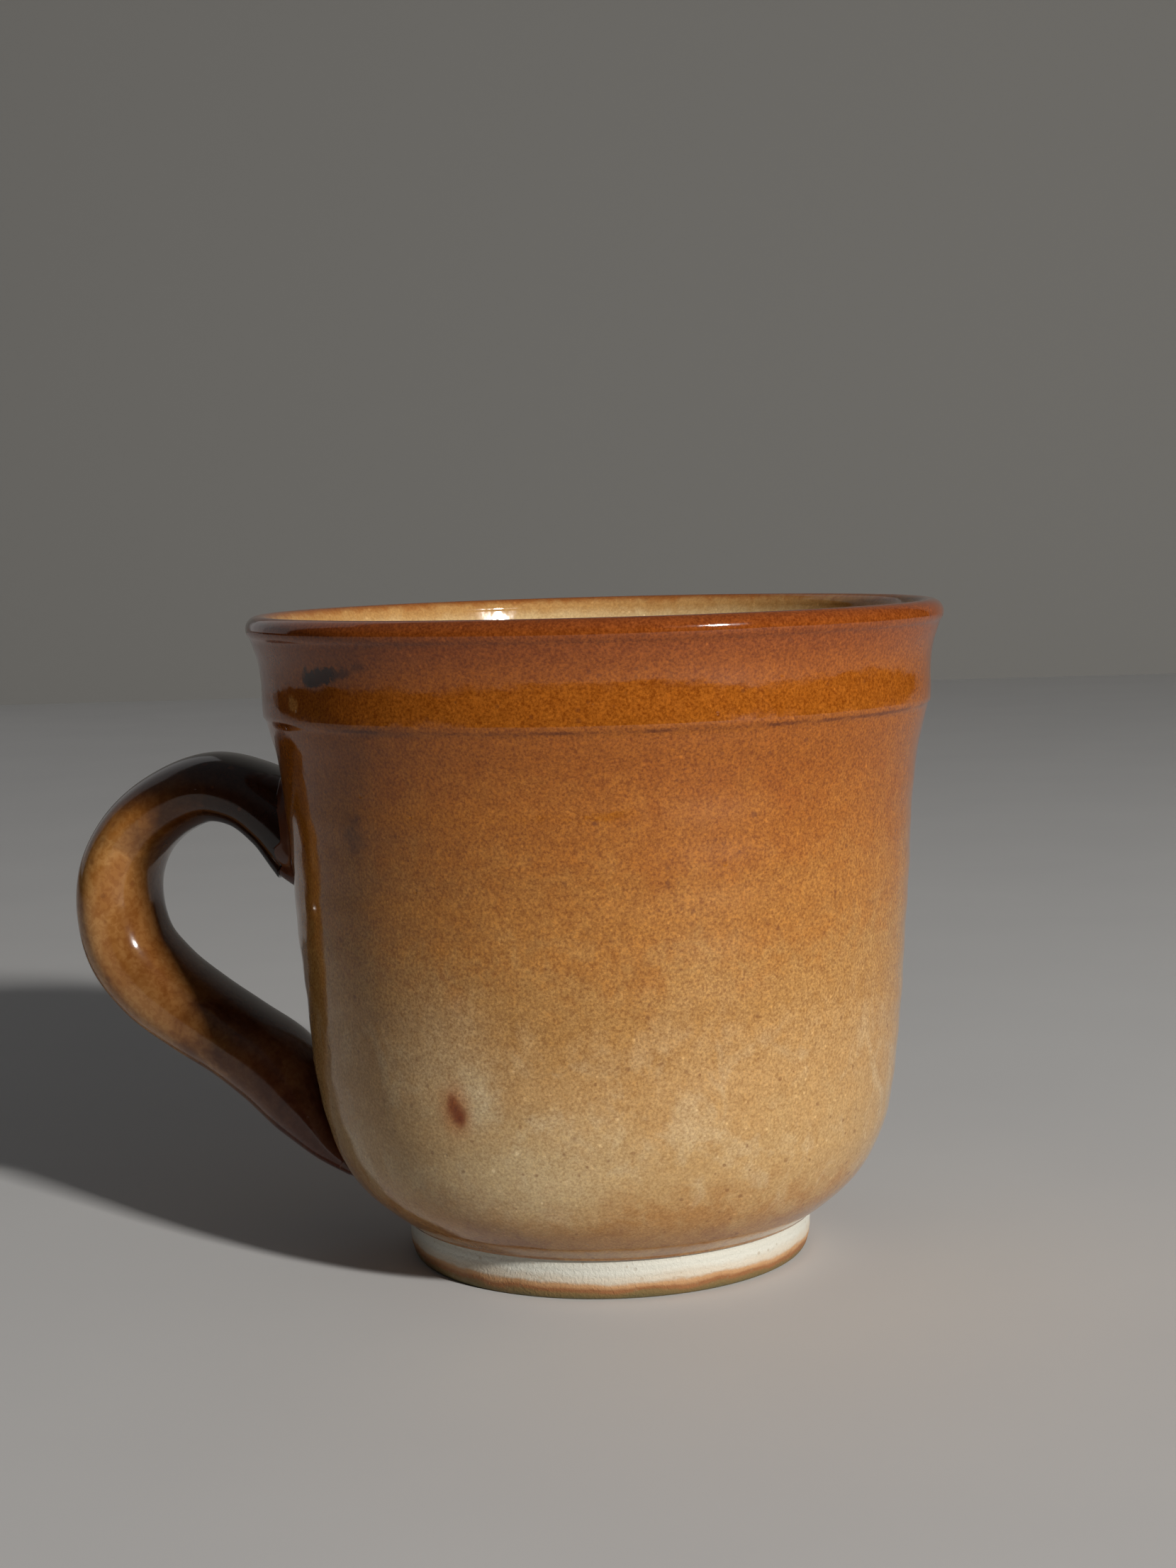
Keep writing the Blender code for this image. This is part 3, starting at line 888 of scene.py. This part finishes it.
(front, half_front), (back, half_back) = TABLE_FRONT, TABLE_BACK
corners = [(-half_front, front, 0), (half_front, front, 0), (half_back, back, 0), (-half_back, back, 0)]
table = stage_sheet("table", corners, table_material())

corners = [(side * BACKDROP_HALF_WIDTH, back, z) for side, z in
           ((-1, BACKDROP_BOTTOM), (1, BACKDROP_BOTTOM), (1, BACKDROP_TOP), (-1, BACKDROP_TOP))]
paper = new_material("grey_backdrop", Base_Color=BACKDROP_GREY, Roughness=0.9)[0]
backdrop = stage_sheet("backdrop", corners, paper)
print(f"table: {2 * half_front:.1f} m wide in front, {2 * half_back:.1f} m behind, {back - front:.2f} m deep")

# %% [markdown]
# ## Light
# One soft lamp stands low to the front right, like a window with low sun: the right side of the cup is
# bright, the left side falls off, and the cup's shadow lies over most of the handle. A wide dim panel
# behind on the left puts a pale veil on the glaze in shade, and lights the back. The world is dark at the
# horizon and brighter overhead.

# %% Lamps and world
TARGET = Vector((AXIS_X * MM, 0, 0.045))
HORIZON_TONE, OVERHEAD_TONE, SKY_STRENGTH = (0.050, 0.050, 0.052), (0.62, 0.62, 0.63), 0.12


def lamp(name, right_of_view, elevation, distance, size, power, colour):
    """A square area lamp aimed at the mug, from an angle right of the view and one above it, in degrees."""
    turn, lift = math.radians(right_of_view + VIEW_TURN), math.radians(elevation)
    direction = Vector((math.sin(turn) * math.cos(lift), -math.cos(turn) * math.cos(lift), math.sin(lift)))
    data = bpy.data.lights.new(name, "AREA")
    data.shape = "SQUARE"
    data.size = size
    data.energy = power
    data.color = colour
    lamp_object = bpy.data.objects.new(name, data)
    lamp_object.location = TARGET + distance * direction
    lamp_object.rotation_euler = direction.to_track_quat("Z", "Y").to_euler()
    lamp_object.visible_camera = False
    bpy.context.scene.collection.objects.link(lamp_object)


lamp("low_window", right_of_view=39.5, elevation=23.5, distance=1.5, size=0.10, power=24.5,
     colour=(1.0, 0.97, 0.93))
lamp("back_panel", right_of_view=-140, elevation=25, distance=1.2, size=1.1, power=0.9,
     colour=(0.97, 0.97, 1.0))

world = bpy.data.worlds.new("soft_studio")
world.use_nodes = True
bpy.context.scene.world = world
sky = world.node_tree
up_and_down = node(sky, "SeparateXYZ", {0: node(sky, "TexCoord").outputs["Generated"]}).outputs["Z"]
shade = mix(sky, smooth_range(sky, up_and_down, 0.12, 1.0), HORIZON_TONE, OVERHEAD_TONE)
sky.links.new(shade, sky.nodes["Background"].inputs["Color"])
sky.nodes["Background"].inputs["Strength"].default_value = SKY_STRENGTH
print("lamps:", sorted(light.name for light in bpy.data.lights))

# %% [markdown]
# ## Camera
# The camera looks at the mug from about a third of a metre and a little above, from ten degrees round
# towards the side without the handle, so that the handle points left and slightly away. Its three axes are
# worked out for a camera straight in front, and one turn about the cup's axis brings them round.

# %% Camera
SENSOR_WIDTH = 36
FOCAL_SHARE = 1.5823
CAMERA_DISTANCE, CAMERA_HEIGHT = 0.32415, 0.09462
PITCH, YAW, ROLL = 5.851, -0.2467, 1.558

pitch, yaw, roll = (math.radians(angle) for angle in (PITCH, YAW, ROLL))
forward = Vector((math.sin(yaw) * math.cos(pitch), math.cos(yaw) * math.cos(pitch), -math.sin(pitch)))
right = Vector((math.cos(yaw), -math.sin(yaw), 0))
up = right.cross(forward)
turned_right = math.cos(roll) * right - math.sin(roll) * up
turned_up = math.sin(roll) * right + math.cos(roll) * up
camera_data = bpy.data.cameras.new("camera")
camera_data.sensor_width = SENSOR_WIDTH
camera_data.lens = FOCAL_SHARE * SENSOR_WIDTH
camera = bpy.data.objects.new("camera", camera_data)
axes = Matrix((turned_right, turned_up, -forward)).transposed().to_4x4()
in_front = Matrix.Translation((0, -CAMERA_DISTANCE, CAMERA_HEIGHT)) @ axes
round_the_axis = Matrix.Translation((AXIS_X * MM, 0, 0)) @ Matrix.Rotation(math.radians(VIEW_TURN), 4, "Z")
camera.matrix_world = round_the_axis @ in_front
bpy.context.scene.collection.objects.link(camera)
bpy.context.scene.camera = camera
bpy.context.scene.view_settings.view_transform = "Standard"
print("camera stands at", [round(value, 3) for value in camera.matrix_world.translation])
